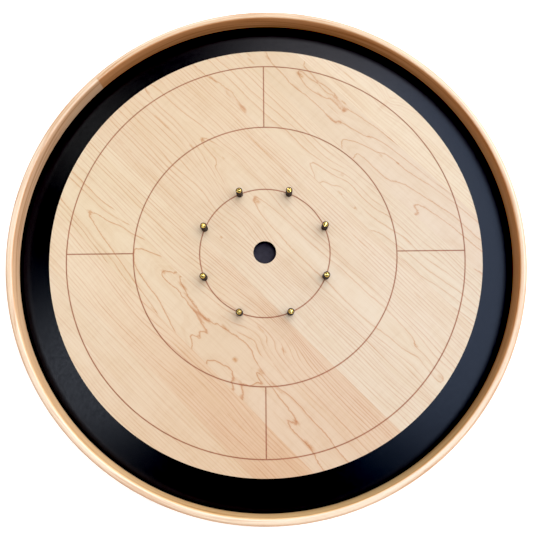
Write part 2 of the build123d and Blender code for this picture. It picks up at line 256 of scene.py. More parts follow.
# ---- maple face veneer ----------------------------------------------------------------------------------
# Each leaf is one slice of a log. Its growth lines are the whole-number levels of one smooth surface, as on a
# map of a hill. The leaves' figures are drawn: each entry is a level and some points that its line passes
# through, along and across the grain in millimetres. The levels between follow by themselves.
FIGURE_LINES = {
    1: (
        (0, ((-220, -249), (0, -250), (200, -246))),
        (4, ((-200, -268), (-60, -272), (60, -272), (200, -264))),
        (9, ((-150, -292), (0, -298), (150, -290))),
        (14, ((-90, -316), (0, -322), (90, -316))),
    ),
    2: (
        (0, ((-250, -174), (-160, -180), (-60, -182), (60, -180), (170, -181), (280, -180))),
        (2, ((-250, -183), (-180, -188), (-120, -195), (-70, -200), (-30, -197), (60, -191), (130, -189),
             (165, -194), (240, -193), (300, -190))),
        (5, ((-240, -200), (-160, -204), (-80, -211), (0, -208), (80, -204), (160, -208), (240, -205))),
        (8, ((-230, -219), (-100, -227), (0, -225), (100, -221), (180, -220), (250, -219))),
        (12, ((-200, -239), (0, -243), (100, -239), (220, -236))),
    ),
    3: (
        (-1, ((-305, -120), (-240, -119), (-212, -114))),
        (0, ((-300, -128), (-250, -128), (-215, -125), (-190, -119), (-175, -113))),
        (1, ((-148, -116), (-167, -122), (-188, -126), (-202, -132), (-221, -136), (-238, -143),
             (-225, -150), (-202, -155), (-179, -160), (-155, -164), (-117, -170), (-75, -175),
             (-45, -182))),
        (2, ((-107, -115), (-121, -120), (-136, -127), (-145, -134), (-142, -142), (-131, -150),
             (-117, -155), (-98, -159), (-79, -162), (-60, -166), (-24, -176), (-12, -179))),
        (0, ((-275, -163), (-235, -165), (-205, -169), (-170, -172), (-110, -180))),
        (-1, ((-275, -169), (-220, -172), (-170, -178))),
        (3, ((-74, -113), (-83, -123), (-90, -129), (-79, -136), (-64, -133), (-45, -135), (-20, -131),
             (-40, -127), (-52, -124), (-62, -120), (-67, -113))),
        (3.5, ((-72, -127),)),
        (2.45, ((-40, -117), (0, -118), (-110, -138), (-60, -150), (-20, -160))),
        (3, ((302, -134), (270, -131), (250, -129), (220, -128), (170, -127), (148, -131), (128, -131),
             (106, -126), (90, -120), (74, -118), (55, -122), (33, -125), (7, -134), (-24, -138),
             (2, -142), (25, -148), (13, -155), (21, -160), (7, -167), (17, -172), (24, -180))),
        (2.5, ((160, -121), (220, -121), (280, -124))),
        (4, ((57, -181), (60, -170), (72, -164), (88, -161), (96, -164), (100, -171), (108, -181))),
        (4.4, ((80, -176),)),
        (3.5, ((82, -146), (60, -140), (45, -155), (108, -150))),
        (4, ((130, -181), (127, -173), (117, -161), (127, -153), (128, -148), (137, -143), (119, -137),
             (126, -133.5), (148, -135), (166, -139), (184, -140), (214, -148), (196, -154), (220, -159),
             (252, -159), (266, -165), (284, -168))),
        (3.5, ((180, -133), (235, -143), (280, -150))),
        (4.5, ((150, -150), (165, -168), (235, -172))),
    ),
    4: (
        (13, ((-320, -50), (-150, -51), (0, -49), (150, -50), (320, -50))),
        (9, ((-320, -68), (-200, -69), (-100, -66), (-40, -62), (0, -60), (60, -57), (130, -59),
             (180, -63), (320, -65))),
        (5, ((-320, -90), (-200, -90), (-100, -87), (-40, -81), (0, -76), (40, -71), (90, -68), (125, -70),
             (150, -78), (200, -82), (320, -84))),
        (3, ((-300, -101), (-200, -101), (-100, -100), (-40, -95), (0, -90), (50, -83), (95, -80),
             (118, -83), (128, -90), (200, -95), (320, -97))),
        (1, ((-300, -111), (-150, -113), (-60, -112), (0, -107), (40, -98), (75, -90), (88, -88),
             (98, -96), (150, -104), (220, -107), (320, -109))),
        (0, ((15, -115), (40, -110), (62, -101), (85, -97), (102, -105), (140, -112), (165, -116))),
        (-1, ((53, -115), (75, -108), (86, -106), (104, -115))),
    ),
    5: (
        (-4, ((-280, 137), (0, 137), (280, 137))),
        (0, ((-300, 117), (-150, 117), (0, 116), (150, 115), (300, 115))),
        (4, ((-310, 97), (-200, 100), (-100, 100), (0, 97), (150, 95), (315, 95))),
        (7, ((-315, 82), (-230, 82), (-140, 85), (0, 83), (150, 84), (320, 80))),
        (8, ((-320, 68), (-290, 69), (-250, 70), (-210, 75), (-170, 78), (-100, 78), (0, 76), (100, 77),
             (200, 78), (322, 73))),
        (9, ((322, 67), (240, 72), (170, 74), (90, 71), (-40, 70), (-92, 74), (-130, 76), (-160, 73),
             (-190, 67), (-199, 60), (-190, 55), (-155, 50), (-148, 41), (-120, 33), (-80, 28), (0, 21.5),
             (90, 21), (150, 24), (200, 25), (260, 29), (327, 27))),
        (9.6, ((-120, 58), (-150, 62))),
        (10, ((-71, 49), (-64, 56), (-30, 58), (0, 59), (40, 59), (87, 62), (150, 64), (205, 65.5),
             (252, 61), (261, 55), (300, 52), (320, 48), (298, 44), (275, 47), (255, 41), (212, 37),
             (100, 34), (50, 33), (0, 36), (-60, 43))),
        (10.7, ((-30, 50), (0, 48), (100, 48), (200, 51), (250, 50), (270, 51), (290, 49), (306, 48))),
        (9.6, ((268, 60), (290, 57), (268, 39), (292, 40))),
        (8, ((-325, 57), (-310, 52), (-280, 51), (-230, 50), (-200, 47), (-170, 39), (-150, 35),
             (-120, 28), (-80, 23), (0, 17), (100, 16), (200, 20), (327, 23))),
        (7, ((-325, 43), (-300, 45), (-250, 45), (-215, 42), (-180, 34), (-120, 22), (0, 12), (100, 12),
             (327, 17))),
        (6, ((-325, 32), (-285, 34), (-245, 35), (-200, 31), (-150, 24), (-100, 15))),
        (3, ((-325, 12), (-200, 12), (-130, 8), (-95, 4), (-60, 8), (0, 3), (100, 3), (200, 4), (327, 8))),
        (2, ((-325, 1), (-250, 1), (-200, -2), (-100, -5), (-50, -2), (0, -3), (120, -2), (240, -3),
             (325, 0))),
        (-1, ((-325, -20), (-200, -22), (-100, -21), (0, -16), (60, -14), (200, -17), (325, -15))),
        (-4, ((-320, -35), (-200, -38), (-100, -37), (-30, -31), (60, -30), (150, -34), (322, -33))),
        (-7, ((-320, -50), (0, -49), (320, -50))),
    ),
    6: (
        (0, ((-260, 203), (0, 203), (260, 203))),
        (3, ((-265, 188), (-200, 187), (-100, 185), (0, 189), (100, 193), (265, 192))),
        (4, ((-270, 172), (-200, 171), (-130, 175), (-60, 175), (-20, 178), (15, 184), (60, 186),
             (130, 186), (230, 187))),
        (5, ((-280, 162), (-230, 161), (-150, 160), (-100, 164), (-60, 162), (-25, 167), (0, 175),
             (30, 176), (60, 175), (90, 180), (150, 180), (200, 184), (270, 184))),
        (6, ((280, 177), (250, 179), (200, 177), (165, 172), (130, 174), (95, 174), (80, 170), (50, 168),
             (20, 170), (0, 165), (-20, 160), (-40, 156), (-50, 152), (-42, 146), (-25, 138))),
        (5.4, ((-120, 146), (-70, 142), (-290, 152))),
        (6, ((-266, 142), (-245, 146), (-220, 149), (-203, 146), (-184, 144), (-192, 141), (-225, 142))),
        (7, ((-17, 138), (-10, 145), (3, 150), (8, 155), (40, 155), (70, 155), (100, 158), (125, 163),
             (142, 166), (160, 165), (200, 168), (235, 172), (270, 172))),
        (8, ((17, 148), (27, 151), (40, 151), (53, 148), (50, 145), (30, 146))),
        (7.5, ((0, 142), (12, 145), (22, 142), (40, 141), (58, 143), (68, 148))),
        (8.5, ((30, 148.5), (42, 148))),
        (8, ((92, 138), (105, 144), (130, 148), (160, 152), (200, 153), (230, 158), (285, 162))),
        (9, ((168, 140), (195, 140), (215, 144), (235, 147), (290, 153))),
    ),
    7: (
        (4, ((18, 268), (-21, 265), (-43, 261), (-61, 258), (-73, 253), (-71, 248), (-89, 250),
             (-104, 249), (-114, 244), (-125, 241), (-139, 239), (-154, 241), (-168, 246), (-157, 253),
             (-143, 253), (-125, 254), (-107, 256), (-92, 260), (-107, 262), (-125, 259), (-143, 258),
             (-160, 259), (-170, 263), (-173, 268))),
        (3.5, ((-140, 264), (-90, 268), (-40, 268), (-120, 248), (0, 274))),
        (4.4, ((-120, 256.5), (-150, 256), (-190, 260), (-190, 242))),
        (5, ((-229, 236), (-214, 229), (-193, 227), (-150, 225), (-132, 228), (-107, 228), (-82, 226),
             (-66, 226), (-64, 232), (-36, 239), (-14, 244), (-11, 248), (7, 254), (29, 257), (60, 260),
             (107, 262), (160, 268))),
        (4.5, ((-120, 235), (-60, 243), (0, 260))),
        (6, ((202, 262), (155, 260), (114, 255), (93, 251), (71, 247), (36, 245), (21, 241), (14, 236),
             (-4, 232), (-21, 225), (-36, 218), (-39, 212), (-29, 203))),
        (5.5, ((-120, 214), (-200, 214), (-80, 208))),
        (7, ((222, 243), (171, 243), (143, 239), (121, 236), (93, 231), (71, 224), (57, 217), (21, 216),
             (0, 216), (-7, 214), (-6, 203))),
        (8, ((235, 232), (178, 230), (150, 227), (128, 222), (114, 217), (114, 212), (124, 210),
             (124, 203))),
        (8.5, ((180, 215), (220, 220))),
    ),
    8: (
        (0, ((-190, 270), (0, 270), (190, 270))),
        (3, ((-170, 284), (-70, 285), (-30, 283), (30, 286), (170, 283))),
        (6, ((-150, 298), (-80, 300), (-50, 299), (-32, 296), (-10, 300), (40, 303), (120, 300))),
        (8, ((-130, 306), (-80, 310), (-50, 308), (-33, 303), (-12, 309), (20, 314), (60, 316),
             (100, 312))),
        (10, ((-90, 320), (-60, 317), (-42, 313), (-33, 309), (-15, 318), (10, 326), (50, 329))),
        (12, ((-70, 329), (-45, 321), (-33, 316), (-20, 324), (-5, 331))),
    ),
}

# Short orange-brown marks: along, across, half length and half width in millimetres, and strength.
FIGURE_MARKS = {
    2: ((18, -193, 22, 1.2, 0.5), (150, -209, 24, 1.0, 0.6), (140, -232, 20, 1.0, 0.5)),
    3: ((82, -146, 4, 3.2, 1.3), (-52, -124, 9, 2.2, 1.0), (-33, -129.5, 12, 1.4, 0.9),
        (37, -123.5, 6, 2, 0.9), (5, -134, 12, 2, 0.9), (122, -131, 6, 2.6, 0.9),
        (245, -157.5, 11, 2.8, 1.1), (-58, -180, 7, 1.2, 0.8), (209, -146, 6, 2, 0.8),
        (-89, -129, 4, 2, 0.9), (154, -132, 14, 1.6, 0.7), (-14, -137.5, 9, 1.6, 0.7)),
    4: ((-110, -66, 12, 0.8, 0.5), (77, -87, 8, 1.0, 0.9), (124, -86, 5, 1.6, 0.7)),
    5: ((-125, 114.5, 28, 0.8, 1.0), (-62, 114.5, 18, 0.7, 0.7), (90, 114, 17, 0.8, 0.9),
        (55, 114, 8, 0.6, 0.5), (120, 113.5, 5, 0.6, 0.5), (211, 113.5, 7, 0.7, 0.8),
        (296, 113.5, 8, 0.7, 0.7), (-197, 60, 4, 3, 0.9), (-66, 49, 6, 4.0, 1.0), (-265, 36, 18, 1.4, 0.7),
        (-201, 40, 5, 1.6, 0.8), (-152, 62, 3, 1, 0.6), (-64, -30, 2.5, 1.5, 1.0), (258, 57, 5, 1.6, 0.7),
        (316, 48, 6, 1.8, 0.5), (-287, -33, 6, 0.8, 0.5), (-265, -33, 4, 0.8, 0.5),
        (-171, -3, 8, 1.0, 0.4), (198, 10.5, 42, 0.7, 0.6), (-318, 55, 6, 1.6, 0.7)),
    6: ((-258, 143.5, 9, 1.6, 0.9), (-190, 142.5, 7, 1.4, 0.8), (17, 148, 5, 1.4, 0.7),
        (142, 165, 9, 1.8, 0.6), (0, 172, 3, 2, 0.5), (52, 147, 3, 2, 0.5)),
    7: ((-163, 246, 7, 3.0, 1.1), (-80, 260.5, 5, 1.4, 0.9), (-85, 240, 13, 0.9, 0.7),
        (-71, 250, 3, 3, 0.9), (-74, 227, 11, 1.8, 0.9), (-62, 232, 3, 3, 0.7), (-117, 243.5, 6, 1.6, 0.7),
        (-152, 226, 10, 1.4, 0.6), (-236, 208, 8, 1.4, 0.9), (-247, 213, 5, 1.2, 0.6),
        (49, 246, 3, 1.4, 1.0), (22, 237, 3, 1.6, 0.6), (13, 267, 6, 1, 0.6), (-220, 231, 6, 1.6, 0.6),
        (-12, 247, 4, 2, 0.5)),
    8: ((-105, 299, 12, 0.9, 0.7), (-32, 302, 3, 10, 0.35)),
}

# Colour at the left and right ends of each leaf, as it looks when lit, and how strong its lines are.
LEAF_TONES = {
    1: ((240, 222, 198), (231, 204, 175), 0.50),
    2: ((241, 222, 196), (228, 195, 165), 0.68),
    3: ((238, 219, 191), (231, 206, 182), 0.90),
    4: ((239, 221, 194), (231, 205, 180), 0.70),
    5: ((235, 213, 185), (235, 219, 199), 0.66),
    6: ((234, 213, 186), (233, 218, 198), 0.62),
    7: ((231, 210, 183), (231, 213, 194), 0.72),
    8: ((239, 221, 197), (236, 221, 198), 0.50),
}
DECK_LIGHT = 1.13              # light that the deck receives, so that a tone is its colour times this
TONE_REACH_MM = 270.0          # the tones are reached this far along the grain from the middle
FIGURE_STRETCH = 3.0           # the figure is this many times smoother along the grain than across
FIGURE_SLACK = 4.0             # a larger value lets the surface miss the drawn points more and be smoother
TINY = 1e-9                    # keeps logarithms away from zero
LEAST_SLOPE = 0.02             # slopes are in levels per millimetre
FLAT_SLOPE, STEEP_SLOPE = 0.06, 0.20     # slopes where lines count as far apart and as close together
SWAY_MM, SWAY_LIMIT = 4.0, 0.6       # width of the band a growth line sways in, and its limit in levels
JAG_MM, JAG_LIMIT = 7.0, 0.15        # the same for its fine jaggedness
LINE_HALF_WIDTH_MM = 0.60
FLAT_LINE_EXTRA_MM = 0.20      # far-apart lines are this much wider
TRAIL_MM, TRAIL_STRENGTH = 2.2, 0.22     # each line fades out slowly on one side
HALO_MM, HALO_STRENGTH = 0.7, 0.7    # browning beside the scored lines
LINE_TINT = (0.77, 0.52, 0.42)
FLAT_LINE_TINT = (0.97, 0.88, 0.76)
MARK_TINT = (0.80, 0.55, 0.36)
HALO_TINT = (0.62, 0.38, 0.26)
MARK_SWAY_MM, MARK_STRENGTH = 5.0, 0.75    # the marks follow the lines' unevenness
LEAST_VIGOUR, LEAST_PATCH, FLAT_VIGOUR = 0.25, 0.2, 0.8    # strengths of faint, patchy and far-apart lines
MAPLE_SHINE, MAPLE_ROUGHNESS, MAPLE_ROUGHNESS_SPREAD = 0.09, 0.36, 0.1


class Contours:
    """A thin-plate surface through the drawn lines, each at its own level."""

    def __init__(self, lines):
        points = [(u / FIGURE_STRETCH, v, level) for level, line in lines for u, v in line]
        table = np.array(points, float)
        self.places = table[:, :2]
        count = len(table)
        away = self.places[:, None, :] - self.places[None, :, :]
        system = np.zeros((count + 3, count + 3))
        system[:count, :count] = self.kernel((away ** 2).sum(2)) + np.eye(count) * FIGURE_SLACK
        system[:count, count] = 1.0
        system[:count, count + 1:] = self.places
        system[count:, :count] = system[:count, count:].T
        self.weights = np.linalg.solve(system, np.append(table[:, 2], [0, 0, 0]))

    @staticmethod
    def kernel(square):
        return 0.5 * square * np.log(square + TINY)

    def at(self, u, v):
        """Level, and its slopes along and across the grain, at each point."""
        spot = np.stack([u / FIGURE_STRETCH, v], 1)
        away = spot[:, None, :] - self.places[None, :, :]
        square = (away ** 2).sum(2)
        pulls, flat = self.weights[:-3], self.weights[-3:]
        level = self.kernel(square) @ pulls + flat[0] + spot @ flat[1:]
        steep = np.log(square + TINY) + 1.0
        slopes = np.einsum("ijk,ij,j->ik", away, steep, pulls) + flat[1:]
        return np.stack([level, slopes[:, 0] / FIGURE_STRETCH, slopes[:, 1]], 1)


def leaf_color(tone):
    return tuple(channel / DECK_LIGHT for channel in srgb(*tone)[:3]) + (1.0,)


def figure_noise(graph, u, v, slope, shift):
    """Small unevenness of the growth lines, in levels. It is less where the figure is flat."""
    sway = graph.noise((u, 70), (v, 16), shift, detail=1.0)
    jag = graph.noise((u, 11), (v, 6), shift + 5.5, detail=2.0, roughness=0.6)
    wide = (sway - 0.5) * (slope * SWAY_MM).atmost(SWAY_LIMIT)
    return wide + (jag - 0.5) * (slope * JAG_MM).atmost(JAG_LIMIT)


def drawn_growth(graph):
    """The figure's level and slopes, as stored at the leaf's vertices."""
    drawn = graph.node("ShaderNodeAttribute", attribute_name="growth")
    split = graph.node("ShaderNodeSeparateXYZ")
    graph.tree.links.new(drawn.outputs["Vector"], split.inputs[0])
    return [Term(graph, socket) for socket in split.outputs]


def score_halo(graph):
    """1 beside a scored line, fading to 0 over the next millimetre or so."""
    x, y, _ = graph.place()
    radius = (x * x + y * y).sqrt()
    half_line = SCORE_WIDTH * 1000 / 2
    halo = None
    for ring in SCORE_RADII:
        near = ((radius - ring * 1000).abs() - half_line).atleast(0.0) * (1 / HALO_MM)
        part = (-(near * near)).exp()
        halo = part if halo is None else halo.atleast(part)
    cross = (x.abs().atmost(y.abs()) - half_line).atleast(0.0) * (1 / HALO_MM)
    inside = graph.math("GREATER_THAN", radius, SCORE_RADII[1] * 1000)
    inside = inside * graph.math("LESS_THAN", radius, SCORE_RADII[2] * 1000)
    return halo.atleast((-(cross * cross)).exp() * inside)


def growth_lines(graph, u, v, shift):
    """The uneven growth level, its unevenness, 1 where its lines are far apart, and up to 1 on a line."""
    level, slope_u, slope_v = drawn_growth(graph)
    drawn_slope = (slope_u * slope_u + slope_v * slope_v).sqrt()
    step = 1.0
    uneven = figure_noise(graph, u, v, drawn_slope, shift)
    slope_u = slope_u + (figure_noise(graph, u + step, v, drawn_slope, shift) - uneven) * (1 / step)
    slope_v = slope_v + (figure_noise(graph, u, v + step, drawn_slope, shift) - uneven) * (1 / step)
    slope = (slope_u * slope_u + slope_v * slope_v).sqrt().atleast(LEAST_SLOPE)
    field = level + uneven
    distance = (0.5 - (field.fract() - 0.5).abs()) / slope
    apart = graph.ramp(slope, STEEP_SLOPE, FLAT_SLOPE)
    half_width = apart * FLAT_LINE_EXTRA_MM + LINE_HALF_WIDTH_MM
    core = (-(distance * distance) / (half_width * half_width)).exp()
    trail = (-(field.fract() / slope) * (1 / TRAIL_MM)).exp() * TRAIL_STRENGTH
    ring = (field + 0.5).floor()
    patchy = graph.noise((u, 60), (v, 12), shift + 20)
    vigour = graph.random(ring + shift) * (1 - LEAST_VIGOUR) + LEAST_VIGOUR
    vigour = vigour * (graph.ramp(patchy, 0.28, 0.58) * (1 - LEAST_PATCH) + LEAST_PATCH)
    vigour = vigour.atleast(apart * FLAT_VIGOUR)
    return field, uneven, apart, (core + trail).atmost(1.0) * vigour


def maple(number):
    """Clear-lacquered maple with the leaf's figure."""
    left, right, line_strength = LEAF_TONES[number]
    shift = 17.0 * number
    graph = Graph(f"maple_{number}")
    u, v, _ = graph.place(turn=-GRAIN_ANGLE)
    field, uneven, apart, line = growth_lines(graph, u, v, shift)
    line = line * line_strength

    fibre = graph.noise((u, 60), (v, 1.8), shift + 40, detail=3.0, roughness=0.65)
    flow = graph.noise(field * 2.4, (u, 160), shift + 33, detail=3.0, roughness=0.6)
    curl = graph.noise((u, 8), (v, 40), shift + 70, detail=1.0)
    grain = graph.noise((u, 260), (v, 4.5), shift + 60)
    cloud = graph.noise((u, 110), (v, 32), shift + 80)
    fleck = graph.noise((u, 2.4), (v, 0.8), shift + 90, detail=1.0)
    speckle = graph.noise((u, 2.6), (v, 1.3), shift + 95)
    across_tones = graph.ramp(u, -TONE_REACH_MM, TONE_REACH_MM)
    color = graph.blend(across_tones, leaf_color(left), leaf_color(right))
    color = graph.stain(color, (
        (cloud, 0.62, 0.30, 0.60, (0.96, 0.93, 0.88)),
        (grain, 0.48, 0.78, 0.45, (0.91, 0.83, 0.74)),
        (fibre, 0.45, 0.80, 0.50, (0.90, 0.80, 0.70)),
        (flow, 0.47, 0.75, 0.45, (0.90, 0.80, 0.70)),
        (curl, 0.45, 0.75, 0.50, (0.96, 0.94, 0.92)),
        (fleck, 0.66, 0.82, 0.25, (0.86, 0.76, 0.66)),
    ))
    color = graph.shade(line, color, LINE_TINT)
    color = graph.shade(line * apart, color, FLAT_LINE_TINT)
    for along, across, half_length, half_wide, strength in FIGURE_MARKS.get(number, ()):
        du = (u - along) * (1.0 / half_length)
        dv = (v - across + uneven * MARK_SWAY_MM) * (1.0 / half_wide)
        spot = (-(du * du * du * du + dv * dv)).exp() * graph.ramp(speckle, 0.25, 0.5)
        color = graph.shade(spot * (MARK_STRENGTH * strength), color, MARK_TINT)
    color = graph.shade(score_halo(graph) * HALO_STRENGTH, color, HALO_TINT)
    graph.bump(fibre, 0.03, 0.3)
    roughness = graph.ramp(fibre, 0.2, 0.8) * MAPLE_ROUGHNESS_SPREAD + MAPLE_ROUGHNESS
    return graph.finish(color, roughness, specular_ior_level=MAPLE_SHINE)


# ---- other materials ------------------------------------------------------------------------------------
BLACK_PAINT = (0.002, 0.002, 0.0024)
# The hole floor's paint is a dark grey, lighter than the base's black paint: a painted sheen that stands in
# for the reflection of the light overhead.
MATT_PAINT_AND_SHEEN = (0.030, 0.025, 0.036)
EDGE_PAINT = (0.003, 0.003, 0.0035)
# Rim tones. The brownish wall tone lies on the right and top of the board, which face away from the lamps:
# partly the wood's tone, partly painted shade. The pale top tone is painted light and the tan top tone is
# painted shade.
PINKISH, GOLDEN, BROWNISH_AND_SHADE = (252, 210, 174), (255, 216, 160), (232, 168, 118)
LIT_TOP_PALE, SHADED_TOP_TAN, SIDE_TONE = (246, 226, 204), (234, 204, 170), (226, 184, 150)
SCORCH_DARK, SCORCH_LIGHT = (136, 72, 48), (170, 100, 72)

# Where the rim's tones change: round the strip from its joint, and across its top. Across the top, the pale
# tone is painted light on the upward face, and the tan toward the strip's end is painted shade on the inner
# rounding that faces away from the lamps. Round the strip, the wall turns brown toward its end, on the right
# and top of the board: partly the wood's own tone, partly painted shade.
TO_MIDDLE, TO_END = (0.3, 2.6), (2.9, 3.9)
TOP_STARTS_MM = (0.3, 1.6)     # outward from the inner side
SIDE_STARTS_MM = (5.0, 1.4)    # inward from the outer side
GRAIN_SWAY_MM = 22
PAINT_RAGGED_MM, PAINT_BLUR_MM = 0.6, 0.2
RIM_SHINE, PAINTED_SHINE = 0.3, 0.05
RIM_ROUGHNESS, RIM_ROUGHNESS_SPREAD = 0.27, 0.12


def plain(name, color, roughness, spread, scale_mm, metallic=0.0, bump_mm=0.02, **others):
    """A finish with soft mottling: spread in its colour, and from 0.88 to 1.13 times its roughness."""
    graph = Graph(name)
    x, y, z = graph.place()
    fine_mm = scale_mm / 6
    mottle = graph.noise((x, scale_mm), (y, scale_mm), (z, scale_mm), detail=3.0)
    fine = graph.noise((x, fine_mm), (y, fine_mm), (z, fine_mm))
    dark = tuple(c * (1 - spread) for c in color[:3]) + (1.0,)
    light = tuple(min(1.0, c * (1 + spread)) for c in color[:3]) + (1.0,)
    shade = graph.blend(graph.ramp(mottle, 0.3, 0.7), dark, light)
    graph.bump(fine, bump_mm, 0.5)
    uneven = graph.ramp(fine, 0.2, 0.8) * (0.25 * roughness) + 0.88 * roughness
    return graph.finish(shade, uneven, metallic=metallic, **others)


def rim_wood(name, joint_angle, tones, top_light_and_shade_tones, shift, painted=0.0):
    """Wood whose grain follows the bent strip. The first tones are the wall's colours at the strip's start,
    middle and
    end: partly the wood's own tone, partly painted light and shade. The second are the top edge's at the
    start and
    end: a pale painted light where the top faces up to the lamps, and a tan painted shade where its rounding
    faces away. With painted at 1, its inner foot is black."""
    graph = Graph(name)
    x, y, z = graph.place(turn=-joint_angle)
    inner_mm, ply_mm = BASE_RADIUS * 1000, RIM_PLY * 1000
    outer_mm = inner_mm + 2 * ply_mm
    turn = graph.math("ARCTAN2", y, x)
    turn = turn + graph.math("LESS_THAN", turn, 0.0) * (2 * pi)
    along = turn * inner_mm
    radial = (x * x + y * y).sqrt()
    sway = graph.noise((along, 300), (z, 60), shift, detail=1.0)
    height = z + (sway - 0.5) * GRAIN_SWAY_MM + radial * 0.5
    lines = graph.noise((along, 360), (height, 5.0), shift + 10, detail=3.0, roughness=0.6)
    fibre = graph.noise((along, 28), (height, 0.6), (radial, 0.8), detail=3.0, roughness=0.6)
    patch = graph.noise((along, 150), (height, 12), shift + 30)
    ray = graph.noise((along, 3.0), (z, 1.0), (radial, 1.0), detail=1.0)
    first, middle, last = (srgb(*tone) for tone in tones)
    # On the inner ply the wall is lighter at the strip's start, on the lit left, and browner toward its end,
    # on the shaded right and top: partly the strip's own tone, partly painted light and shade.
    early = graph.ramp(turn, *TO_MIDDLE)
    late = graph.ramp(turn, *TO_END)
    wall = graph.blend(late, graph.blend(early, first, middle), last)
    # The top edge is painted light, paler where it faces up to the lamps; on the inner ply it turns tan
    # toward the strip's end, painted shade on the rounding that faces away from them.
    top = graph.blend(late, srgb(*top_light_and_shade_tones[0]), srgb(*top_light_and_shade_tones[1]))
    top_light_and_shade_share = graph.ramp(radial, *(inner_mm + start for start in TOP_STARTS_MM))
    side_share = graph.ramp(radial, *(outer_mm - start for start in SIDE_STARTS_MM))
    color = graph.blend(top_light_and_shade_share, wall, top)
    color = graph.blend(side_share, color, srgb(*SIDE_TONE))
    color = graph.stain(color, (
        (patch, 0.62, 0.30, 0.80, (0.90, 0.82, 0.74)),
        (lines, 0.48, 0.66, 0.80, (0.74, 0.56, 0.42)),
        (fibre, 0.40, 0.75, 0.40, (0.80, 0.68, 0.56)),
        (ray, 0.62, 0.78, 0.25, (0.74, 0.58, 0.44)),
    ))
    inside = graph.math("LESS_THAN", radial, inner_mm + ply_mm / 2)
    paint_edge = (BASE_TOP + PAINT_RISE) * 1000
    ragged = z + (fibre - 0.5) * PAINT_RAGGED_MM
    paint = graph.ramp(ragged, paint_edge + PAINT_BLUR_MM, paint_edge - PAINT_BLUR_MM) * inside * painted
    color = graph.blend(paint, color, (*BLACK_PAINT, 1.0))
    graph.bump(fibre, 0.05, 0.5)
    roughness = graph.ramp(fibre, 0.2, 0.8) * RIM_ROUGHNESS_SPREAD + RIM_ROUGHNESS
    shine = RIM_SHINE - paint * (RIM_SHINE - PAINTED_SHINE)
    return graph.finish(color, roughness, specular_ior_level=shine)


def burnt_line():
    """The scored lines' floor and walls, browned by the tool."""
    graph = Graph("scored_line")
    x, y, z = graph.place()
    soot = graph.noise((x, 6), (y, 6), z, detail=3.0)
    color = graph.blend(graph.ramp(soot, 0.3, 0.7), srgb(*SCORCH_DARK), srgb(*SCORCH_LIGHT))
    return graph.finish(color, 0.75)


# ---- mesh tools -----------------------------------------------------------------------------------------
def piece(name, mesh_source, materials, body="board", replaces=()):
    """Turn a bmesh into a piece that rides on a body and stands for CAD nodes."""
    bmesh.ops.recalc_face_normals(mesh_source, faces=mesh_source.faces)
    mesh = bpy.data.meshes.new(name)
    mesh_source.to_mesh(mesh)
    mesh_source.free()
    for material in materials:
        mesh.materials.append(material)
    made = bpy.data.objects.new(name, mesh)
    bpy.context.scene.collection.objects.link(made)
    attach(made, body)
    if replaces:
        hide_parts(*replaces)
    return made


def arc(centre, radius, start, end, steps):
    """Points on an arc in a section, from start to end in degrees."""
    angles = [radians(start + (end - start) * i / steps) for i in range(steps + 1)]
    return [(centre[0] + radius * cos(a), centre[1] + radius * sin(a)) for a in angles]


def turned(section, steps, start=0.0, sweep=2 * pi):
    """Turn a closed section of (radius, z) points about the Z axis. Less than a full turn gets end caps."""
    mesh = bmesh.new()
    full = sweep == 2 * pi
    count = steps if full else steps + 1
    rings = []
    for i in range(count):
        angle = start + sweep * i / steps
        ring = [mesh.verts.new((r * cos(angle), r * sin(angle), z)) for r, z in section]
        rings.append(ring)
    size = len(section)
    pairs = list(zip(rings, rings[1:] + rings[:1])) if full else list(zip(rings[:-1], rings[1:]))
    for first, second in pairs:
        for j in range(size):
            k = (j + 1) % size
            face = mesh.faces.new((first[j], second[j], second[k], first[k]))
            face.smooth = True
    if not full:
        mesh.faces.new(rings[0])
        mesh.faces.new(list(reversed(rings[-1])))
    return mesh


def sharpen(made):
    """Smooth shading that breaks at real corners."""
    mesh = made.data
    source = bmesh.new()
    source.from_mesh(mesh)
    for edge in source.edges:
        if len(edge.link_faces) == 2 and edge.calc_face_angle(0.0) > SHARP_ANGLE:
            edge.smooth = False
    source.to_mesh(mesh)
    source.free()
    return made


# ---- deck -----------------------------------------------------------------------------------------------
def deck_cells():
    """The deck's top as flat faces, with edges along every scored line and every seam."""
    half = SCORE_WIDTH / 2
    firm = [HOLE_RADIUS] + [r + side for r in SCORE_RADII for side in (-half, half)] + [DECK_RADIUS]
    radii = [HOLE_RADIUS]
    for inner, outer in zip(firm[:-1], firm[1:]):
        steps = ceil((outer - inner) / FIGURE_CELL)
        radii += [inner + (outer - inner) * i / steps for i in range(1, steps + 1)]
    mesh = bmesh.new()
    angles = [2 * pi * i / DECK_STEPS for i in range(DECK_STEPS)]
    rings = [[mesh.verts.new((radius * cos(a), radius * sin(a), 0.0)) for a in angles] for radius in radii]
    for inner, outer in zip(rings[:-1], rings[1:]):
        for i in range(DECK_STEPS):
            k = (i + 1) % DECK_STEPS
            mesh.faces.new((inner[i], outer[i], outer[k], inner[k]))
    cuts = [(ACROSS_GRAIN * (seam / 1000), ACROSS_GRAIN) for seam in LEAF_SEAMS_MM]
    for side in (-half, half):
        cuts.append((Vector((side, 0, 0)), Vector((1, 0, 0))))
        cuts.append((Vector((0, side, 0)), Vector((0, 1, 0))))
    for point, normal in cuts:
        everything = mesh.verts[:] + mesh.edges[:] + mesh.faces[:]
        bmesh.ops.bisect_plane(mesh, geom=everything, dist=CUT_TOLERANCE, plane_co=point, plane_no=normal)
    return mesh


def scored(middle):
    """True where a point lies in one of the scored lines."""
    half = SCORE_WIDTH / 2
    radius = hypot(middle.x, middle.y)
    if any(abs(radius - r) < half for r in SCORE_RADII):
        return True
    return SCORE_RADII[1] < radius < SCORE_RADII[2] and min(abs(middle.x), abs(middle.y)) < half


